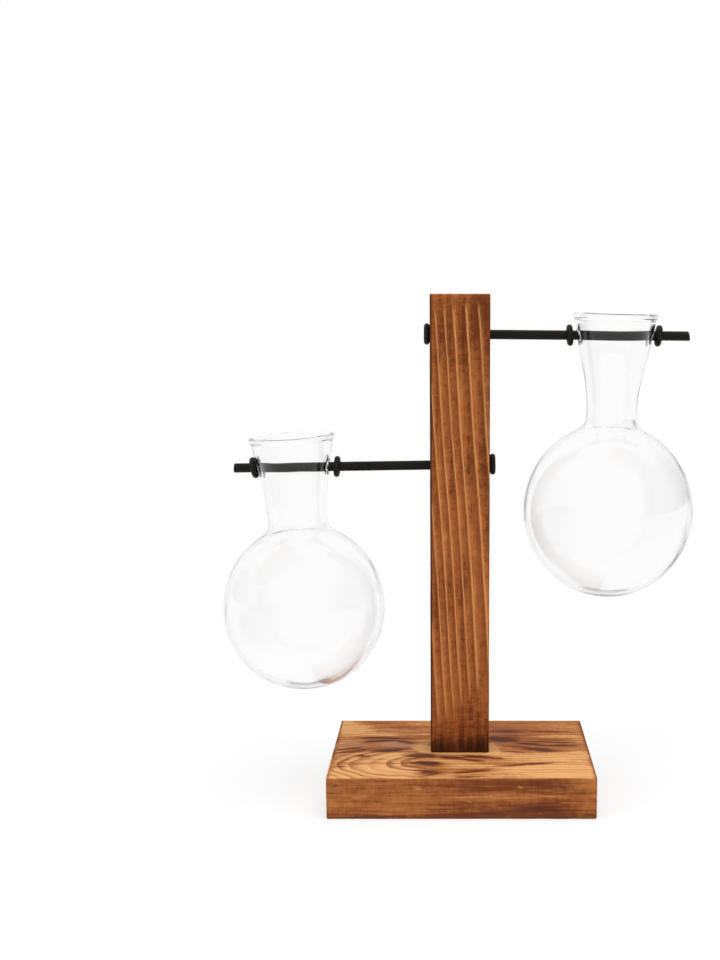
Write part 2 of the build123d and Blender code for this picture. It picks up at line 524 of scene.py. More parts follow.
@dataclass(frozen=True)
class PaleFloor(Finish):
    """A white studio sweep that glows to the camera and keeps a soft shadow near the object."""

    name: str = "pale_floor"
    paint: Colour = (0.91, 0.91, 0.91)
    near_glow: float = 0.62
    fade: Point = (0.10, 0.45)

    def shader(self, g: Graph) -> Signal:
        """Lay the floor's nodes, with a glow that grows away from the object.

        Args:
            g: the material's graph.

        Returns:
            The shader.
        """
        lit = g.node("ShaderNodeBsdfDiffuse", {}, {"Color": self.paint})
        glow = g.node("ShaderNodeEmission", {}, {"Color": WHITE, "Strength": 1.0})
        away = g.node("ShaderNodeVectorMath", {"operation": "LENGTH"}, {0: g.place()}, "Value")
        seen = g.ray("Is Camera Ray").highest(g.ray("Is Glossy Ray")).highest(g.ray("Is Transmission Ray"))
        share = self.near_glow + (1.0 - self.near_glow) * away.step(*self.fade)
        return g.node("ShaderNodeMixShader", {}, {0: seen * share, 1: lit, 2: glow})


def add_object(name: str, data: bpy.types.ID) -> bpy.types.Object:
    """Put a new object into the scene and return it.

    Args:
        name: its name.
        data: its mesh, lamp or camera.

    Returns:
        The object.
    """
    made = bpy.data.objects.new(name, data)
    bpy.context.scene.collection.objects.link(made)
    return made


def shade(mesh: bpy.types.Mesh, flat_above: float) -> None:
    """Smooth a mesh's faces, with breaks at edges over an angle in degrees."""
    mesh.shade_smooth()
    mesh.set_sharp_from_angle(angle=math.radians(flat_above))


@dataclass
class MeshDraft:
    """Points and faces of a piece before it becomes an object."""

    points: list[Vector] = field(default_factory=list)
    faces: list[tuple[int, ...]] = field(default_factory=list)
    values: dict[str, list[float]] = field(default_factory=dict)

    def piece(self, name: str, place: Matrix = IDENTITY, flat_above: float = 40.0) -> bpy.types.Object:
        """Make the object, with smooth faces that break at sharp edges.

        Args:
            name: the piece's name.
            place: where the draft's own frame lies.
            flat_above: the angle in degrees from which an edge is sharp.

        Returns:
            The new object, with its place in its mesh.
        """
        mesh = bpy.data.meshes.new(name)
        mesh.from_pydata(self.points, [], self.faces)
        for key, numbers in self.values.items():
            mesh.attributes.new(key, "FLOAT", "POINT").data.foreach_set("value", numbers)
        mesh.transform(place)
        mesh.validate()
        shade(mesh, flat_above)
        return add_object(name, mesh)


def lathe(profile: Sequence[Point], segments: int) -> MeshDraft:
    """Turn a profile about Z into a closed mesh.

    Args:
        profile: radius and height from one end on the axis to the other end on the axis.
        segments: how many steps it has round the axis.

    Returns:
        The draft.
    """
    draft = MeshDraft([Vector((0.0, 0.0, profile[0][1]))])
    rows = profile[1:-1]
    for radius, height in rows:
        for step in range(segments):
            angle = FULL_TURN * step / segments
            draft.points.append(Vector((radius * math.cos(angle), radius * math.sin(angle), height)))
    draft.points.append(Vector((0.0, 0.0, profile[-1][1])))
    last = len(draft.points) - 1
    top = 1 + (len(rows) - 1) * segments
    for step in range(segments):
        after = (step + 1) % segments
        draft.faces.append((0, 1 + after, 1 + step))
        for low in range(1, top, segments):
            high = low + segments
            draft.faces.append((low + step, low + after, high + after, high + step))
        draft.faces.append((top + step, top + after, last))
    return draft


def drill(name: str, radius: float, reach: float, place: Matrix, segments: int) -> bpy.types.Object:
    """Make a round cutter.

    Args:
        name: its name.
        radius: half its width.
        reach: how far it goes to both sides.
        place: a frame with X along the cutter and its origin in the middle.
        segments: how many steps it has round its axis.

    Returns:
        The cutter.
    """
    profile = [(0.0, -reach), (radius, -reach), (radius, reach), (0.0, reach)]
    return lathe(profile, segments).piece(name, place @ Matrix.Rotation(0.5 * math.pi, 4, "Y"))


def cut(piece: bpy.types.Object, tools: Sequence[bpy.types.Object], flat_above: float = 40.0) -> None:
    """Cut tools out of a piece and throw them away.

    Args:
        piece: what is cut.
        tools: closed meshes.
        flat_above: the angle in degrees from which an edge is sharp.
    """
    for tool in tools:
        change = piece.modifiers.new("cut", "BOOLEAN")
        change.operation, change.solver, change.object = "DIFFERENCE", "EXACT", tool
    graph = bpy.context.evaluated_depsgraph_get()
    mesh = bpy.data.meshes.new_from_object(piece.evaluated_get(graph))
    piece.modifiers.clear()
    old, piece.data = piece.data, mesh
    mesh.name = piece.name
    bpy.data.meshes.remove(old)
    shade(mesh, flat_above)
    for tool in tools:
        spent = tool.data
        bpy.data.objects.remove(tool)
        bpy.data.meshes.remove(spent)


def dress(piece: bpy.types.Object, material: bpy.types.Material) -> None:
    """Give a piece one material."""
    piece.data.materials.clear()
    piece.data.materials.append(material)


def settle(piece: bpy.types.Object, material: bpy.types.Material, body: str, node: str) -> None:
    """Dress a piece and tie it to its body and the CAD node that it stands for.

    Args:
        piece: the piece.
        material: its finish.
        body: the body it rides on.
        node: the node it replaces.
    """
    dress(piece, material)
    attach(piece, body)
    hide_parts(node)
    log.info("%s rides on %s, %d points", piece.name, body, len(piece.data.vertices))


def spot_share(x: float, y: float, spots: Sequence[Spot]) -> float:
    """Return how deep a place lies in a set of soft streaks that taper to both ends.

    Args:
        x: first coordinate.
        y: second coordinate.
        spots: two ends, half width and strength of each.

    Returns:
        The strongest share.
    """
    best = 0.0
    for ax, ay, bx, by, reach, strength in spots:
        ahead = Vector((bx - ax, by - ay))
        half = 0.5 * ahead.length + reach
        ahead.normalize()
        gap = Vector((x - 0.5 * (ax + bx), y - 0.5 * (ay + by)))
        share = math.hypot(gap.dot(ahead) / half, gap.cross(ahead) / reach)
        if share < 1.0:
            best = max(best, strength * (1.0 - smoothstep(0.25, 1.0, share)))
    return best


@dataclass(frozen=True)
class Tint:
    """How brown, burnt, worn pale at the top edges (partly wear, partly a painted highlight), free of growth
    lines and ashen the wood is at a place, about 0 to 1.
    """

    toast: float
    char: float
    worn: float
    plain: float
    bloom: float = 0.0


@dataclass
class WoodBlock:
    """A sawn block of pine with eased edges and brushed grain. Its looks are worked out in millimetres."""

    node: str
    finish: CharredPine
    edge_round: float
    cell: Place
    ring_places: tuple[float, ...]
    proud_rise: Fade
    proud_fall: Fade
    relief: float = 0.07 * MM
    dent_depth: float = 0.07 * MM
    dent_fineness: float = 0.16
    dent_share: float = 0.25
    edge_band: float = 2.2
    edge_calm: float = 0.7
    eased_lines: tuple[float, ...] = (0.0, 0.12, 0.30, 0.55, 0.80, 1.0, 1.5)
    low: Vector = field(init=False)
    high: Vector = field(init=False)

    def __post_init__(self) -> None:
        """Read the block's corners from the frame."""
        self.low, self.high = (Vector(corner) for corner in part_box(self.node))

    def ring(self, x: float, y: float, z: float) -> float:
        """Return how many growth rings lie before a place."""
        raise NotImplementedError

    def tint(self, x: float, y: float, z: float) -> Tint:
        """Return how the wood looks at a place."""
        raise NotImplementedError

    def count_rings(self, across: float) -> float:
        """Return the number of rings up to a distance.

        Args:
            across: the distance across the rings.

        Returns:
            The number, whole where a ring starts.
        """
        places = self.ring_places
        below = min(max(bisect.bisect_right(places, across) - 1, 0), len(places) - 2)
        start, end = places[below:below + 2]
        return below + (across - start) / (end - start)

    def lines(self, axis: int) -> list[float]:
        """Return the places of the mesh lines along an axis, closer at the rounded ends.

        Args:
            axis: the axis.

        Returns:
            The places in metres, in order.
        """
        low, high = self.low[axis], self.high[axis]
        ease = [self.edge_round * share for share in self.eased_lines]
        start, end = low + ease[-1], high - ease[-1]
        count = max(2, round((end - start) / self.cell[axis]))
        middle = [start + (end - start) * step / count for step in range(1, count)]
        return [low + gap for gap in ease] + middle + [high - gap for gap in reversed(ease)]

    def draft(self) -> MeshDraft:
        """Lay the mesh over the block.

        Returns:
            The draft, with a ring number and a tint at each point.
        """
        lines = [self.lines(axis) for axis in range(3)]
        counts = [len(row) - 1 for row in lines]
        draft, index = MeshDraft(), {}

        def corner(key: tuple[int, int, int]) -> int:
            """Return the number of a lattice point, made on first use.

            Args:
                key: its mesh line along each axis.

            Returns:
                The number.
            """
            if key not in index:
                index[key] = len(draft.points)
                self._add_point(draft, Vector([lines[axis][key[axis]] for axis in range(3)]))
            return index[key]

        for axis in range(3):
            one, two = (axis + 1) % 3, (axis + 2) % 3
            for end in (0, counts[axis]):
                for i in range(counts[one]):
                    for j in range(counts[two]):
                        loop = []
                        for di, dj in SQUARE:
                            key = [0, 0, 0]
                            key[axis], key[one], key[two] = end, i + di, j + dj
                            loop.append(corner(tuple(key)))
                        draft.faces.append(tuple(loop if end else reversed(loop)))
        return draft

    def _add_point(self, draft: MeshDraft, spot: Vector) -> None:
        """Ease a lattice point at the edges, brush its grain and note its looks.

        Args:
            draft: where it goes.
            spot: the point on the sharp block.
        """
        ease, low, high = self.edge_round, self.low, self.high
        inner = Vector([min(max(spot[axis], low[axis] + ease), high[axis] - ease) for axis in range(3)])
        out = (spot - inner).normalized()
        eased = inner + out * ease
        gaps = sorted(min(spot[axis] - low[axis], high[axis] - spot[axis]) for axis in range(3))
        place = [value / MM for value in eased]
        ring, tint = self.ring(*place), self.tint(*place)
        edge = 1.0 - smoothstep(0.0, self.edge_band * ease, gaps[1])
        dents = max(0.0, waver(*(Vector(place) * self.dent_fineness)) + self.dent_share) * edge
        brushed = 1.0 - self.proud_rise.at(ring % 1.0) * self.proud_fall.at(ring % 1.0)
        sink = self.relief * brushed * (1.0 - self.edge_calm * edge) + self.dent_depth * dents
        draft.points.append(eased - out * sink)
        # worn: paler top edges, partly wear and partly a painted highlight.
        looks = {"ring": ring, "toast": tint.toast, "char": min(tint.char, 1.0), "worn": edge * tint.worn,
                 "plain": tint.plain, "bloom": tint.bloom}
        for key, value in looks.items():
            draft.values.setdefault(key, []).append(value)

    def build(self, cutters: Sequence[bpy.types.Object]) -> None:
        """Make the piece, with its bores, and dress it.

        Args:
            cutters: meshes of its bores.
        """
        piece = self.draft().piece(self.node + "_wood")
        cut(piece, cutters, flat_above=35.0)
        settle(piece, self.finish.material(), STAND_BODY, self.node)


@dataclass
class Slab(WoodBlock):
    """The flat-sawn base, with pointed growth lines on top and scorch marks by the post."""

    heart: Point = (-10.0, -20.0)
    across_scale: float = 2.1
    depth_scale: float = 3.0
    thickness: float = 17.0
    top_brown: float = 0.17
    glow_brown: float = 0.44
    end_brown: Point = (1.15, 0.75)
    # Sides browner than the top: partly the wood's own colour, partly painted shade.
    front_brown_and_shade: float = 0.66
    side_plain: float = 0.85
    pale_plain: float = 0.70
    proud_rise: Fade = Fade(0.45, 0.80)
    proud_fall: Fade = Fade(1.0, 0.93)
    top_face: Fade = Fade(15.9, 16.8)
    back_brown: Fade = Fade(-8.0, 8.0, 0.17)
    right_brown: Fade = Fade(5.0, 25.0, 0.10)
    rear_brown: Fade = Fade(-12.0, 5.0)
    end_edge: Fade = Fade(50.5, 51.4)
    middle_brown: Fade = Fade(-34.0, 4.0, 0.13)
    right_pale: Fade = Fade(38.0, 50.0, 0.24)
    low_brown: Fade = Fade(4.5, 0.5, 0.22)
    end_lines: Fade = Fade(51.2, 51.8, 0.60)
    right_plain: Fade = Fade(0.0, 20.0, 0.58)
    front_plain: Fade = Fade(4.0, -4.0)
    back_plain: Fade = Fade(10.0, 18.0, 0.60)
    # Paler top edges, less so to the right: partly wear, partly a painted highlight.
    top_edge_wear_and_highlight: Fade = Fade(16.0, 16.7, 0.8)
    right_edge_less_pale: Fade = Fade(0.0, 24.0, 0.75)
    top_char: Fade = Fade(15.9, 16.9)
    front_char: Fade = Fade(16.9, 16.2)
    foot_char: Fade = Fade(0.9, 0.2, 0.75)
    ring_places: tuple[float, ...] = (
        -2.0, 4.0, 10.0, 16.0, 21.0, 27.0, 34.0, 38.5, 44.0, 49.0, 54.0, 59.0, 63.5, 68.5, 74.0, 79.0,
        85.0, 91.0, 97.0, 104.0, 111.0, 118.0, 126.0,
    )
    top_burns: tuple[Spot, ...] = (
        (-21.5, -10.0, -11.0, -10.8, 4.4, 1.00), (-13.0, -11.5, 2.0, -14.2, 2.6, 0.80),
        (-19.0, -19.0, -9.0, -20.6, 4.4, 0.95), (-17.0, -28.8, -8.0, -29.4, 3.4, 1.00),
        (11.5, 11.4, 21.5, 6.8, 5.0, 0.90), (18.0, 5.4, 38.0, 1.2, 2.0, 0.95),
        (32.0, 1.8, 52.0, 1.6, 2.0, 0.90), (19.0, 1.0, 31.0, -3.0, 2.6, 0.68),
        (24.0, -1.2, 41.0, -5.8, 3.4, 0.66), (22.0, 6.6, 52.0, 5.4, 1.3, 0.85),
        (24.0, 10.0, 52.0, 8.6, 0.9, 0.65), (-52.0, 11.2, -12.5, 10.0, 1.6, 0.80),
        (-42.0, 5.6, -27.0, 8.2, 1.9, 0.90), (-29.0, 8.0, -17.5, 4.2, 2.0, 0.90),
        (-38.0, -5.4, -19.0, -3.2, 2.2, 0.90), (-53.0, -9.0, -33.0, -1.6, 1.6, 0.80),
        (-53.0, -5.0, -38.0, 0.5, 1.3, 0.70), (-2.5, -9.8, 18.0, -14.8, 1.6, 0.90),
        (-2.0, -13.6, 9.0, -17.2, 1.4, 0.80), (10.5, -23.4, 39.0, -18.4, 1.4, 0.80),
        (-6.5, -31.0, 13.0, -26.6, 1.4, 0.80), (-18.5, -34.4, -4.0, -29.8, 1.2, 0.80),
        (-51.0, 33.0, -20.0, 30.0, 2.4, 0.30), (-40.0, 26.0, -16.0, 24.5, 1.6, 0.40),
        (12.0, 26.0, 22.0, 18.0, 8.5, 0.36), (24.0, 20.0, 52.0, 18.6, 1.2, 0.40),
        (-42.0, -10.4, -36.0, -12.6, 1.6, 0.70), (-6.0, -34.2, 11.0, -33.6, 1.8, 0.55),
        (14.0, -4.0, 30.0, -8.5, 1.6, 0.45),
    )
    front_burns: tuple[Spot, ...] = (
        (16.0, 3.4, 42.0, 2.6, 6.0, 0.50), (0.0, 1.2, 24.0, 0.8, 4.4, 0.44),
        (20.0, 15.2, 46.0, 14.4, 3.6, 0.27), (-50.2, 13.2, -46.8, 14.0, 0.9, 0.50),
        (-8.0, 15.0, 14.0, 14.0, 2.6, 0.18),
    )
    pale_spots: tuple[Spot, ...] = (
        (-17.4, 1.0, -12.8, -5.0, 5.0, 1.10), (12.2, 3.0, 13.0, -8.5, 3.6, 0.80),
        (14.0, -27.5, 54.0, -26.5, 7.5, 0.52), (-56.0, 30.0, -42.0, 17.0, 12.0, 0.50),
        (-44.0, 17.0, -26.0, 15.6, 4.0, 0.34), (26.0, 13.0, 50.0, 13.6, 3.6, 0.36),
        (-9.0, -18.0, 4.0, -19.5, 4.0, 0.30), (16.0, -14.0, 52.0, -11.5, 4.6, 0.30),
        (-54.0, -32.0, -30.0, -26.0, 8.0, 0.36), (-30.0, -8.5, -22.0, -12.0, 3.6, 0.26),
    )
    ashen_spots: tuple[Spot, ...] = (
        (-35.0, 4.0, -19.0, 1.4, 4.6, 1.00), (-52.0, 2.6, -36.0, 1.6, 4.6, 0.55),
        (13.0, 14.0, 20.0, 22.0, 6.0, 0.35),
    )
    front_lines: tuple[Spot, ...] = (
        (-12.0, 9.2, 50.0, 9.0, 3.4, 0.20), (-8.0, 8.5, 23.0, 10.1, 0.6, 0.60),
        (20.0, 10.1, 47.0, 8.6, 0.6, 0.60), (30.0, 11.4, 47.0, 9.9, 0.5, 0.35),
        (-15.5, 5.0, -1.0, 4.7, 0.5, 0.30), (21.2, 13.1, 23.6, 12.6, 0.7, 0.55),
        (-18.2, 12.5, -15.4, 12.1, 0.7, 0.45), (2.0, 7.2, 4.0, 6.9, 0.6, 0.45),
        (29.4, 2.6, 31.0, 2.4, 0.5, 0.45), (-44.0, 9.0, -36.0, 8.8, 0.4, 0.30),
        (-34.0, 6.2, -30.0, 6.0, 0.5, 0.30), (8.0, 5.6, 15.0, 5.4, 0.4, 0.35),
        (34.0, 12.8, 39.0, 12.4, 0.5, 0.35), (36.0, 7.0, 47.0, 6.4, 0.5, 0.35),
        (-28.0, 4.2, -19.0, 4.0, 0.4, 0.25),
    )

    @cached_property
    def burn_glow(self) -> list[Spot]:
        """Return the browned wood round the burns on top."""
        return [(*ends, 2.0 * reach, strength) for *ends, reach, strength in self.top_burns]

    def ring(self, x: float, y: float, z: float) -> float:
        """Return how many growth rings lie before a place, round the heart.

        Args:
            x: the place, along the slab.
            y: across it.
            z: its height.

        Returns:
            The number of rings.
        """
        sway = waver(x * 0.045, y * 0.060, z * 0.05 + 3.7)
        curl = waver(x * 0.16, y * 0.22, 8.2)
        left = min(x - self.heart[0] + 2.5 * sway + 0.7 * curl, 0.0)
        aside = y - self.heart[1] + 1.8 * sway + 0.5 * curl
        below = self.thickness - z
        return self.count_rings(Vector((left, self.across_scale * aside, self.depth_scale * below)).length)

    def tint(self, x: float, y: float, z: float) -> Tint:
        """Return how the wood looks at a place.

        Args:
            x: the place, along the slab.
            y: across it.
            z: its height.

        Returns:
            The tint.
        """
        on_top = self.top_face.at(z)
        pale = spot_share(x, y, self.pale_spots)
        top, front = self._top_toast(x, y) - pale, self._front_toast(x, z)
        side_plain = (self.side_plain - self.end_lines.at(abs(x))) * (1.0 - on_top)
        near_plain = self.right_plain.at(x) * self.front_plain.at(y)
        return Tint(
            # The sides take the front's brown, which is partly painted shade; the top keeps its own.
            toast=top + (front - top) * (1.0 - on_top),
            char=self._char(x, y, z),
            # Paler top edges: partly wear, partly a painted highlight.
            worn=self.top_edge_wear_and_highlight.at(z) * (1.0 - self.right_edge_less_pale.at(x)),
            plain=max(side_plain, near_plain, self.pale_plain * pale, self.back_plain.at(y)),
            bloom=on_top * spot_share(x, y, self.ashen_spots),
        )

    def _top_toast(self, x: float, y: float) -> float:
        """Return how brown the top is: more so at the back, round the burns and along the end edges.

        Args:
            x: the place, along the slab.
            y: across it.

        Returns:
            The share of brown, before the pale spots.
        """
        back = self.back_brown.at(y) + self.right_brown.at(x) * self.rear_brown.at(y)
        left_end, right_end = self.end_brown
        ends = (left_end if x < 0.0 else right_end) * self.end_edge.at(abs(x))
        return self.top_brown + back + self.glow_brown * spot_share(x, y, self.burn_glow) + ends

    def _front_toast(self, x: float, z: float) -> float:
        """Return how brown the front is, partly its own colour and partly painted shade of a side that the
        light from above reaches less: more from the middle on and near the foot, less on pale lines.
        """
        across = self.middle_brown.at(x) - self.right_pale.at(x)
        return self.front_brown_and_shade + across + self.low_brown.at(z) - spot_share(x, z, self.front_lines)

    def _char(self, x: float, y: float, z: float) -> float:
        """Return how burnt the wood is at a place.

        Args:
            x: the place, along the slab.
            y: across it.
            z: its height.

        Returns:
            The strongest of the burns on top, in front and along the foot.
        """
        sway = 1.5 * waver(x * 0.09, y * 0.14, 1.3) + 0.7 * waver(x * 0.30, y * 0.42, 6.3)
        along = x + 2.5 * waver(x * 0.15, y * 0.45, 4.1)
        top = self.top_char.at(z) * spot_share(along, y + 0.6 * sway, self.top_burns)
        front = self.front_char.at(z) * spot_share(along, z + 0.4 * sway, self.front_burns)
        return max(top, front, self.foot_char.at(z))


@dataclass
class Post(WoodBlock):
    """The upright, with pale growth lines that drift to the right on the way down."""

    drift: float = 0.066
    slant: float = 0.55
    level: float = 108.7
    front: float = -7.25
    brown: float = 0.65
    low_slope: float = 0.9
    top_slope: float = 0.15
    proud_rise: Fade = Fade(0.0, 0.04)
    proud_fall: Fade = Fade(0.24, 0.12)
    corner_brown: Fade = Fade(0.0, 9.0, 0.22)
    high_brown: Fade = Fade(158.0, 184.0)
    foot_brown: Fade = Fade(40.0, 24.0, 0.16)
    middle_pale: Fade = Fade(45.0, 75.0, 0.08)
    below_top: Fade = Fade(150.0, 120.0)
    foot_char: Fade = Fade(27.0, 17.5, 0.94)
    left_char: Fade = Fade(-11.05, -12.35, 0.95)
    right_char: Fade = Fade(10.35, 11.15, 0.30)
    low_plain: Fade = Fade(44.0, 34.0)
    top_plain: Fade = Fade(193.0, 196.5)
    end_lines: Fade = Fade(199.4, 199.8, 0.65)
    # Paler top edges: partly wear, partly a painted highlight.
    top_edge_wear_and_highlight: Fade = Fade(196.0, 199.0, 0.25)
    ring_places: tuple[float, ...] = (
        -26.6, -23.7, -20.7, -17.6, -14.5, -11.2, -8.0, -4.8, -1.2, 2.1, 7.0, 11.9, 16.6, 21.0, 25.6, 30.0,
    )

    def ring(self, x: float, y: float, z: float) -> float:
        """Return how many growth rings lie before a place."""
        wobble = 0.5 * waver(x * 0.05, y * 0.08, z * 0.022 + 5.1)
        return self.count_rings(x + self.drift * (z - self.level) + self.slant * (y - self.front) + wobble)

    def tint(self, x: float, y: float, z: float) -> Tint:
        """Return how the wood looks at a place.

        Args:
            x: the place, across the post.
            y: through it.
            z: its height.

        Returns:
            The tint.
        """
        browner = self.corner_brown.at(x) * self.high_brown.at(z) + self.foot_brown.at(z)
        paler = self.middle_pale.at(z) * self.below_top.at(z)
        lick = 3.0 * waver(x * 0.9, y * 0.9, 2.4) + 1.5 * waver(x * 2.3, y * 2.3, 7.7)
        low_plain = self.low_plain.at(z - self.low_slope * x)
        top_plain = self.top_plain.at(z - self.top_slope * x) * (1.0 - self.end_lines.at(z))
        return Tint(
            toast=self.brown + browner - paler,
            char=max(self.foot_char.at(z + lick), self.left_char.at(x), self.right_char.at(x)),
            # Paler top edges: partly wear, partly a painted highlight.
            worn=self.top_edge_wear_and_highlight.at(z),
            plain=max(low_plain, top_plain),
        )


@dataclass(frozen=True)
class Arm:
    """The line of one rod: where it crosses the post and which way it points."""

    crossing: Vector
    heading: Vector

    def turn(self) -> Matrix:
        """Return the turn of the arm's own frame.

        Returns:
            A turn with X along the rod, Y level and Z up.
        """
        ahead = self.heading.normalized()
        side = Vector((0.0, 0.0, 1.0)).cross(ahead).normalized()
        return Matrix((ahead, side, ahead.cross(side))).transposed().to_4x4()

    def frame(self) -> Matrix:
        """Return the arm's own frame, with its origin at the crossing."""
        return Matrix.Translation(self.crossing) @ self.turn()


@dataclass
class RodSet:
    """One painted rod, with the bore that it sits in."""

    side: str
    arm: Arm
    tail: float
    reach: float
    slant_cut: float
    radius: float = 1.875 * MM
    end_round: float = 0.4 * MM
    cut_reach: float = 6.0 * MM
    tail_wear: float = 2.0 * MM
    paint_gap: float = 0.006
    dent_depth: float = 0.010 * MM
    dent_fineness: float = 700.0
    dent_stretch: float = 0.4
    side_from: float = 0.9
    bore_gap: float = 0.02 * MM
    bore_reach: float = 30.0 * MM
    length_steps: int = 140
    end_steps: int = 6
    segments: int = 48
    bore_segments: int = 64

    def profile(self) -> list[Point]:
        """Trace the rod from its tail to its free end, eased at both.

        Returns:
            Radius and height of its points.
        """
        length, ease = self.tail + self.reach, self.end_round
        flat, straight = self.radius - ease, length - 2 * ease
        steps = self.length_steps
        line = [(0.0, 0.0), (0.5 * flat, 0.0)]
        line += arc((flat, ease), (ease, ease), -0.5 * math.pi, 0.0, self.end_steps)
        line += [(self.radius, ease + straight * step / steps) for step in range(1, steps)]
        line += arc((flat, length - ease), (ease, ease), 0.0, 0.5 * math.pi, self.end_steps)
        return line + [(0.5 * flat, length), (0.0, length)]

    def rod(self, material: bpy.types.Material) -> None:
        """Make the rod: drawn wire, its free end cut a little aslant, worn at both ends.

        Args:
            material: its paint.
        """
        length, radius = self.tail + self.reach, self.radius
        draft = lathe(self.profile(), self.segments)
        worn = draft.values["worn"] = []
        for spot in draft.points:
            near_end = smoothstep(length - self.cut_reach, length, spot.z)
            spot.z -= self.slant_cut * near_end * (0.5 + 0.5 * spot.x / radius)
            dent = waver(*(Vector((spot.x, spot.y, spot.z * self.dent_stretch)) * self.dent_fineness))
            if math.hypot(spot.x, spot.y) > self.side_from * radius:
                spot.xy *= 1.0 - self.paint_gap + self.dent_depth * dent / radius
            worn.append(max(near_end, 1.0 - smoothstep(0.0, self.tail_wear, spot.z)))
        along = Matrix.Rotation(0.5 * math.pi, 4, "Y") @ Matrix.Rotation(math.pi, 4, "Z")
        place = self.arm.frame() @ Matrix.Translation((-self.tail, 0.0, 0.0)) @ along
        piece = draft.piece(self.side + "_rod_wire", place, flat_above=50.0)
        settle(piece, material, STAND_BODY, self.side + "_rod")

    def bore(self) -> bpy.types.Object:
        """Make the cutter for the rod's hole in the post."""
        return drill(self.side + "_rod_bore", self.radius + self.bore_gap, self.bore_reach,
                     self.arm.frame(), self.bore_segments)


@dataclass
class RubberRing:
    """One moulded ring with its seam, where its CAD node lies, at a tilt on its rod in degrees."""

    node: str
    body: str
    arm: Arm
    tilt: float = 0.0
    cord_radius: float = 1.15 * MM
    seam_width: float = 0.16
    seam_height: float = 0.022 * MM
    unevenness: float = 0.010 * MM
    unevenness_fineness: float = 2.3
    segments: int = 128
    sides: int = 40

    def build(self, material: bpy.types.Material) -> None:
        """Make the ring and dress it.

        Args:
            material: its rubber.
        """
        low, high = (Vector(corner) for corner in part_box(self.node))
        middle_radius = 0.5 * (high.y - low.y) - self.cord_radius
        draft, sides = MeshDraft(), self.sides
        seams = draft.values["seam"] = []
        for step in range(self.segments):
            angle = FULL_TURN * step / self.segments
            ahead = Vector((0.0, math.cos(angle), math.sin(angle)))
            after = (step + 1) % self.segments
            for turn in range(sides):
                round_angle = FULL_TURN * turn / sides
                seam = max(0.0, 1.0 - abs(math.sin(round_angle)) / self.seam_width)
                uneven = waver(*(Vector((ahead.y, ahead.z, round_angle)) * self.unevenness_fineness))
                dip = self.seam_height * (1.0 - seam) + self.unevenness * uneven
                cord = self.cord_radius - max(dip, 0.0)
                out = middle_radius + cord * math.cos(round_angle)
                draft.points.append(ahead * out + Vector((cord * math.sin(round_angle), 0.0, 0.0)))
                seams.append(seam)
                beside = (turn + 1) % sides
                draft.faces.append((step * sides + turn, after * sides + turn,
                                    after * sides + beside, step * sides + beside))
        lean = Matrix.Rotation(math.radians(self.tilt), 4, "Y")
        place = Matrix.Translation((low + high) / 2) @ self.arm.turn() @ lean
        piece = draft.piece(self.node + "_moulding", place, flat_above=60.0)
        settle(piece, material, self.body, self.node)


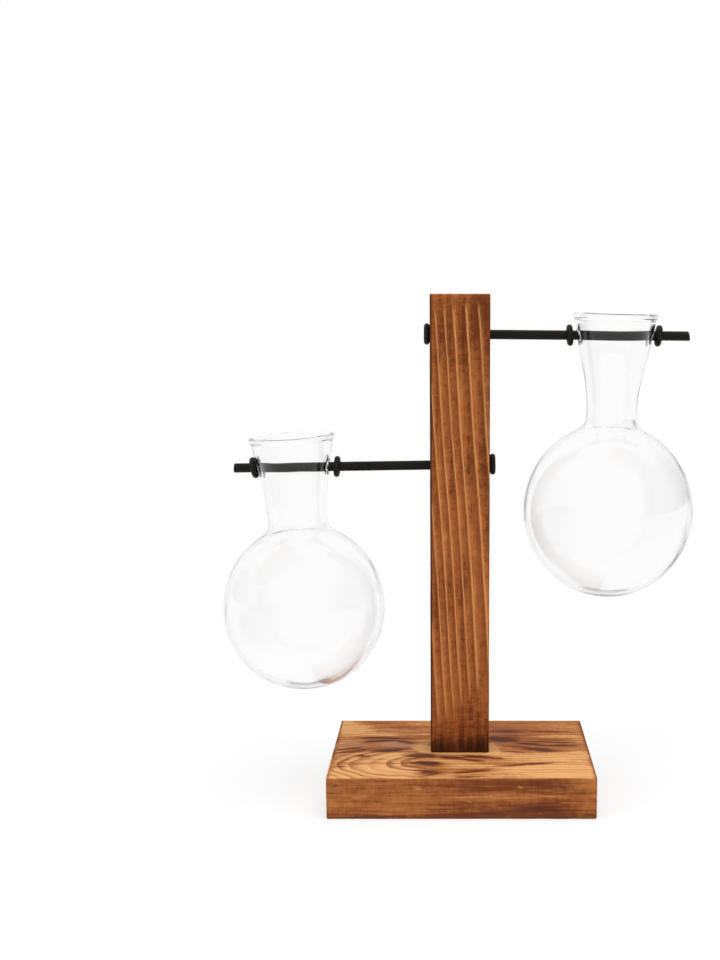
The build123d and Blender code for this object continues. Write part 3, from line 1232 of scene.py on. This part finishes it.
@dataclass
class BlownVase:
    """One vase: a thin-walled bulb with a flaring neck, a rolled rim and two holes for its rod."""

    side: str
    arm: Arm
    hinge: Vector
    lean: float
    hang: float
    bulb_radius: float
    bulb_half_height: float
    waist_radius: float
    waist_rise: float
    neck_radius: float
    neck_length: float
    hole_drop: float
    rim_radius: float
    shoulder_round: float
    seed: float
    foot_radius: float = 5.0 * MM
    wall: float = 1.3 * MM
    floor_thickness: float = 2.8 * MM
    bead_radius: float = 1.15 * MM
    rim_flare: float = 0.2
    hole_radius: float = 3.175 * MM
    swell: float = 0.16 * MM
    swell_bias: float = 0.35
    ripple: float = 0.05 * MM
    ripple_ratio: float = 2.7
    unevenness_fineness: float = 55.0
    unevenness_stretch: float = 0.8
    inside_seed: float = 3.0
    inside_share: float = 0.5
    even_radius: float = 9.0 * MM
    drill_margin: float = 6.0 * MM
    foot_shares: Place = (0.25, 0.5, 0.75)
    segments: int = 224
    hole_segments: int = 96
    halvings: int = 60
    bulb_steps: int = 90
    shoulder_steps: int = 16
    waist_steps: int = 4
    neck_steps: int = 60
    bead_steps: int = 26
    smoothing: int = 4

    @property
    def waist_height(self) -> float:
        """Return the height of the waist's top over the bulb's middle."""
        return self.bulb_half_height + self.waist_rise

    @property
    def rim_height(self) -> float:
        """Return the height of the rim's bead over the bulb's middle."""
        return self.bulb_half_height + self.neck_length

    @property
    def hole_height(self) -> float:
        """Return the height of the holes over the bulb's middle."""
        return self.rim_height - self.hole_drop

    @property
    def bead_drop(self) -> float:
        """Return how far under the bead's middle the wall runs into it."""
        return math.sqrt(self.bead_radius ** 2 - (0.5 * self.wall) ** 2)

    def frame(self) -> Matrix:
        """Return the vase's own frame as it hangs and leans on its rod.

        Returns:
            The frame, with its origin in the bulb's middle.
        """
        hung = Matrix.Translation(self.hinge) @ self.arm.turn() @ Matrix.Translation((0.0, 0.0, -self.hang))
        lean = Matrix.Rotation(math.radians(self.lean), 4, "Y")
        return hung @ lean @ Matrix.Translation((0.0, 0.0, -self.hole_height))

    def bulb_wall(self, inset: float, start_radius: float) -> list[Point]:
        """Trace one side of the wall from the foot to the waist.

        Args:
            inset: how far it lies inside the outer face.
            start_radius: where the curve leaves the foot or the floor.

        Returns:
            Radius and height of its points.
        """
        wide, tall = self.bulb_radius - inset, self.bulb_half_height - inset
        waist, ease = self.waist_radius - inset, self.shoulder_round + inset

        def outwards(angle: float) -> Vector:
            """Return the way straight out of the bulb at an angle."""
            return Vector((tall * math.cos(angle), wide * math.sin(angle))).normalized()

        low, high = math.acos((waist + ease) / wide), math.acos(waist / wide)
        for _ in range(self.halvings):
            middle = 0.5 * (low + high)
            outside = wide * math.cos(middle) + ease * outwards(middle).x - waist - ease > 0.0
            low, high = (middle, high) if outside else (low, middle)
        out = outwards(low)
        centre = Vector((wide * math.cos(low), tall * math.sin(low))) + out * ease
        points = arc((0.0, 0.0), (wide, tall), -math.acos(start_radius / wide), low, self.bulb_steps)
        first = math.atan2(-out.y, -out.x)
        first = first - FULL_TURN if first > 0 else first
        points += arc(centre, (ease, ease), first, -math.pi, self.shoulder_steps)[1:]
        rise = self.waist_height - centre.y
        steps = self.waist_steps
        return points + [(waist, centre.y + rise * step / steps) for step in range(1, steps + 1)]

    def neck_wall(self, inset: float) -> list[Point]:
        """Trace one side of the wall from the waist to the rim's bead, as a curve through the holes' level.

        Args:
            inset: how far it lies inside the outer face.

        Returns:
            Radius and height of its points.
        """
        heights = (self.waist_height, self.hole_height, self.rim_height)
        radii = (self.waist_radius - inset, self.neck_radius - inset,
                 self.rim_radius - self.bead_radius + 0.5 * self.wall - inset)
        one, two = heights[1] - heights[0], heights[2] - heights[1]
        pull = 3.0 * ((radii[1] - radii[0]) / one ** 2 + (radii[2] - radii[1]) / two ** 2)
        slopes = (0.0, (pull - self.rim_flare / two) / (2.0 / one + 2.0 / two), self.rim_flare)
        top = self.rim_height - self.bead_drop
        points = []
        for step in range(1, self.neck_steps + 1):
            height = heights[0] + (top - heights[0]) * step / self.neck_steps
            part = 0 if height < heights[1] else 1
            span = heights[part + 1] - heights[part]
            t = (height - heights[part]) / span
            rise = t * t * (3.0 - 2.0 * t)
            radius = (1.0 - rise) * radii[part] + rise * radii[part + 1]
            radius += t * (1.0 - t) * span * ((1.0 - t) * slopes[part] - t * slopes[part + 1])
            points.append((radius, height))
        return points

    def profile(self) -> list[Point]:
        """Trace the whole wall, outside up, over the rim and inside down.

        Returns:
            Radius and height from the foot's middle to the floor's middle.
        """
        foot = self.bulb_half_height * math.sqrt(1.0 - (self.foot_radius / self.bulb_radius) ** 2)
        outside = [(self.foot_radius * share, -foot) for share in self.foot_shares]
        outside += self.bulb_wall(0.0, self.foot_radius) + self.neck_wall(0.0)
        start = math.asin(self.bead_drop / self.bead_radius)
        middle = (self.rim_radius - self.bead_radius, self.rim_height)
        bead = arc(middle, (self.bead_radius,) * 2, -start, math.pi + start, self.bead_steps)[1:-1]
        tall = self.bulb_half_height - self.wall
        floor_level = 1.0 - (self.floor_thickness - self.wall) / tall
        floor_radius = (self.bulb_radius - self.wall) * math.sqrt(1.0 - floor_level ** 2)
        inside = [(floor_radius * share, -tall * floor_level) for share in self.foot_shares]
        inside += self.bulb_wall(self.wall, floor_radius) + self.neck_wall(self.wall)
        line = outside + bead + inside[::-1]
        for _ in range(self.smoothing):
            eased = [((a[0] + 2 * b[0] + c[0]) / 4, (a[1] + 2 * b[1] + c[1]) / 4)
                     for a, b, c in zip(line, line[1:], line[2:])]
            line = [line[0], *eased, line[-1]]
        return [(0.0, -foot), *line, (0.0, -tall * floor_level)]

    def glass(self, material: bpy.types.Material) -> None:
        """Make the vase, with the slight unevenness of blown work and the holes for its rod.

        Args:
            material: its glass.
        """
        profile = self.profile()
        draft = lathe(profile, self.segments)
        rim_row = len(profile) // 2
        for number, spot in enumerate(draft.points):
            radius = math.hypot(spot.x, spot.y)
            if radius < 1e-7:
                continue
            inside = (number - 1) // self.segments > rim_row
            place = Vector((spot.x, spot.y, self.unevenness_stretch * spot.z)) * self.unevenness_fineness
            place += Vector((self.seed, self.inside_seed * inside, 0.0))
            swell = self.swell * (waver(*place) - self.swell_bias)
            swell += self.ripple * waver(*(place * self.ripple_ratio))
            if inside:
                swell = -self.inside_share * abs(swell)
            spot.xy *= 1.0 + swell * smoothstep(0.0, self.even_radius, radius) / radius
        piece = draft.piece(self.side + "_vase_glass")
        across = Matrix.Translation((0.0, 0.0, self.hole_height))
        reach = self.rim_radius + self.drill_margin
        cut(piece, [drill(self.side + "_drill", self.hole_radius, reach, across, self.hole_segments)])
        piece.data.transform(self.frame())
        settle(piece, material, self.side + "_vase", self.side + "_vase")


@dataclass
class Stand:
    """The slab, the post, its screws, and the two rods with their far rings."""

    slab: Slab
    post: Post
    rods: tuple[RodSet, RodSet]
    screw_head_radius: float = 3.6 * MM
    screw_head_gap: float = 0.15 * MM
    screw_shank_radius: float = 1.8 * MM
    screw_spacing: float = 11.0 * MM
    screw_sink: float = 0.4 * MM
    hole_reach: Point = (-1.0 * MM, 40.0 * MM)
    hole_segments: int = 64

    def screw_holes(self) -> list[bpy.types.Object]:
        """Make the cutters for the two countersunk holes under the slab.

        Returns:
            The cutters.
        """
        axis = 0.5 * (self.post.low.x + self.post.high.x)
        head, shank = self.screw_head_radius + self.screw_head_gap, self.screw_shank_radius
        sink, (below, above) = self.screw_sink, self.hole_reach
        profile = [(0.0, below), (head, below), (head, sink), (shank, sink + head - shank),
                   (shank, above), (0.0, above)]
        holes = []
        for number, sign in enumerate((-1, 1)):
            place = Matrix.Translation((axis + sign * 0.5 * self.screw_spacing, 0.0, 0.0))
            holes.append(lathe(profile, self.hole_segments).piece(f"screw_hole_{number}", place))
        return holes

    def build(self) -> None:
        """Make and dress every piece of the stand."""
        self.slab.build(self.screw_holes())
        self.post.build([rod.bore() for rod in self.rods])
        dress(frame["nodes"]["base_screws"], ZincPlate().material())
        log.info("base_screws keep their CAD shape")
        paint, rubber = SatinPaint().material(), BlackRubber().material()
        for rod in self.rods:
            rod.rod(paint)
            RubberRing(rod.side + "_post_ring", STAND_BODY, rod.arm).build(rubber)


@dataclass
class HangingSet:
    """A vase with the two rings that hold its place on the rod, each tilted by some degrees."""

    vase: BlownVase
    inner_tilt: float
    outer_tilt: float

    def build(self) -> None:
        """Make and dress the vase and its rings."""
        side = self.vase.side
        rubber = BlackRubber(side + "_ring_rubber").material()
        self.vase.glass(BlownGlass(side + "_blown_glass").material())
        for place, tilt in (("inner", self.inner_tilt), ("outer", self.outer_tilt)):
            node = f"{side}_{place}_ring"
            RubberRing(node, node, self.vase.arm, tilt).build(rubber)


@dataclass(frozen=True)
class SoftLamp:
    """One soft lamp: where it hangs, what it faces, its width and height, and its watts."""

    name: str
    spot: Place
    aim: Place
    size: Point
    power: float

    def hang(self) -> None:
        """Hang the lamp, unseen in mirrors and glass."""
        data = bpy.data.lights.new(self.name, "AREA")
        data.shape = "RECTANGLE"
        data.size, data.size_y = self.size
        data.energy = self.power
        made = add_object(self.name, data)
        made.location = self.spot
        made.visible_glossy = made.visible_transmission = False
        made.rotation_euler = (Vector(self.aim) - Vector(self.spot)).to_track_quat("-Z", "Y").to_euler()


@dataclass
class Studio:
    """Camera, pale floor, lamps and surroundings."""

    eye: Place = (-0.00236, -0.51200, 0.19303)
    tilt: float = 82.0105
    lens: float = 48.75
    sensor: float = 36.0
    shift: Point = (-0.0994, 0.0150)
    clip: Point = (0.01, 50.0)
    floor_reach: float = 3.0
    left_wing: Point = (0.70, 0.97)
    left_shade: float = 0.50
    right_wing: Point = (0.50, 0.92)
    right_shade: float = 0.88
    fill_light: float = 0.42
    lamps: tuple[SoftLamp, ...] = (
        SoftLamp("top_soft_lamp", (0.10, -0.15, 1.30), (0.0, 0.0, 0.05), (1.1, 0.9), 13.0),
        SoftLamp("left_soft_lamp", (-1.05, -0.75, 0.70), (0.0, 0.0, 0.10), (0.5, 0.9), 5.0),
        SoftLamp("right_soft_lamp", (1.10, -0.80, 0.55), (0.0, 0.0, 0.10), (0.4, 0.8), 3.0),
    )

    def camera(self) -> None:
        """Stand the camera where the picture was taken from."""
        data = bpy.data.cameras.new("studio_camera")
        data.lens, data.sensor_width, data.sensor_fit = self.lens, self.sensor, "AUTO"
        data.shift_x, data.shift_y = self.shift
        data.clip_start, data.clip_end = self.clip
        made = add_object("studio_camera", data)
        made.location = self.eye
        made.rotation_euler = (math.radians(self.tilt), 0.0, 0.0)
        bpy.context.scene.camera = made

    def floor(self) -> None:
        """Lay the pale floor."""
        reach = self.floor_reach
        corners = [Vector(((2 * x - 1) * reach, (2 * y - 1) * reach, 0.0)) for x, y in SQUARE]
        made = MeshDraft(corners, [(0, 1, 2, 3)]).piece("studio_floor")
        dress(made, PaleFloor().material())

    def surroundings(self) -> None:
        """Set the white surroundings, with grey wings at the sides for the glass to draw its edges with."""
        world = bpy.data.worlds.new("white_surroundings")
        bpy.context.scene.world = world
        world.use_nodes = True
        g = Graph(world.node_tree)
        heading = g.node("ShaderNodeTexCoord", {}, {}, "Generated")
        right = g.node("ShaderNodeSeparateXYZ", {}, {"Vector": heading}, "X")
        wings = self.left_shade * (0.0 - right).step(*self.left_wing)
        wings = wings + self.right_shade * right.step(*self.right_wing)
        seen = g.ray("Is Camera Ray")
        bent = g.ray("Is Glossy Ray").highest(g.ray("Is Transmission Ray"))
        strength = seen + bent * (1.0 - seen) * (1.0 - wings) + self.fill_light * (1.0 - seen.highest(bent))
        shine = g.node("ShaderNodeBackground", {}, {"Color": WHITE, "Strength": strength})
        g.node("ShaderNodeOutputWorld", {}, {"Surface": shine}, None)

    def build(self) -> None:
        """Set up the studio."""
        bpy.context.scene.view_settings.view_transform = "Standard"
        self.camera()
        self.floor()
        for lamp in self.lamps:
            lamp.hang()
        self.surroundings()
        log.info("studio ready")


def joint_line(name: str) -> tuple[Vector, Vector]:
    """Return the place and direction of a joint's axis.

    Args:
        name: the joint.

    Returns:
        The place in metres and the direction.
    """
    joint = next(row for row in frame["record"]["behaviour"]["joints"] if row["name"] == name)
    return Vector(joint["pos_m"]), Vector(joint["axis"]).normalized()


def main() -> None:
    """Build the stand, the two hanging vases and the studio, in order."""
    logging.basicConfig(level=logging.INFO, format="%(name)s: %(message)s")
    upper_hinge, upper_heading = joint_line("upper_vase_swing")
    lower_hinge, lower_heading = joint_line("lower_vase_swing")
    post_axis, half_post = -0.6 * MM, 11.75 * MM
    ring_gap, ring_thickness = 0.05 * MM, 2.3 * MM
    upper = Arm(Vector((post_axis, 0.0, 184.4 * MM)), upper_heading)
    lower = Arm(Vector((post_axis, 0.0, 133.1 * MM)), lower_heading)
    tail = half_post + ring_gap + ring_thickness

    slab_pine = CharredPine(
        "slab_charred_pine", Sawing.FLAT, pale=(0.78, 0.402, 0.153), warm=(0.44, 0.156, 0.044),
        deep=(0.180, 0.044, 0.011), line=(0.150, 0.040, 0.012), late_share=0.76,
        scorch=(0.148, 0.038, 0.015), soot=(0.062, 0.020, 0.014),
    )
    post_pine = CharredPine(
        "post_charred_pine", Sawing.RIFT, pale=(0.56, 0.23, 0.070), warm=(0.39, 0.118, 0.030),
        deep=(0.140, 0.032, 0.007), line=(0.74, 0.335, 0.115), late_share=0.55,
        scorch=(0.105, 0.027, 0.008), soot=(0.036, 0.010, 0.004),
    )
    Stand(
        slab=Slab("base_slab", slab_pine, edge_round=0.8 * MM, cell=(1.1 * MM, 0.4 * MM, 0.5 * MM)),
        post=Post("post", post_pine, edge_round=0.6 * MM, cell=(0.3 * MM, 0.4 * MM, 1.5 * MM)),
        rods=(RodSet("upper", upper, tail, reach=90.0 * MM, slant_cut=0.7 * MM),
              RodSet("lower", lower, tail, reach=89.6 * MM, slant_cut=0.2 * MM)),
    ).build()

    upper_vase = BlownVase(
        "upper", upper, upper_hinge, lean=1.0119, hang=0.9204 * MM, bulb_radius=33.45 * MM,
        bulb_half_height=34.6 * MM, waist_radius=9.95 * MM, waist_rise=4.9 * MM, neck_radius=14.7 * MM,
        neck_length=41.9 * MM, hole_drop=8.4 * MM, rim_radius=16.7 * MM, shoulder_round=5.5 * MM, seed=2.0,
    )
    lower_vase = BlownVase(
        "lower", lower, lower_hinge, lean=2.5243, hang=0.5546 * MM, bulb_radius=32.3 * MM,
        bulb_half_height=33.2 * MM, waist_radius=11.9 * MM, waist_rise=3.4 * MM, neck_radius=14.2 * MM,
        neck_length=34.8 * MM, hole_drop=12.1 * MM, rim_radius=17.0 * MM, shoulder_round=5.0 * MM, seed=9.0,
    )
    HangingSet(upper_vase, inner_tilt=-4.0, outer_tilt=5.0).build()
    HangingSet(lower_vase, inner_tilt=-4.0, outer_tilt=11.0).build()

    Studio().build()


if __name__ == "__main__":
    main()
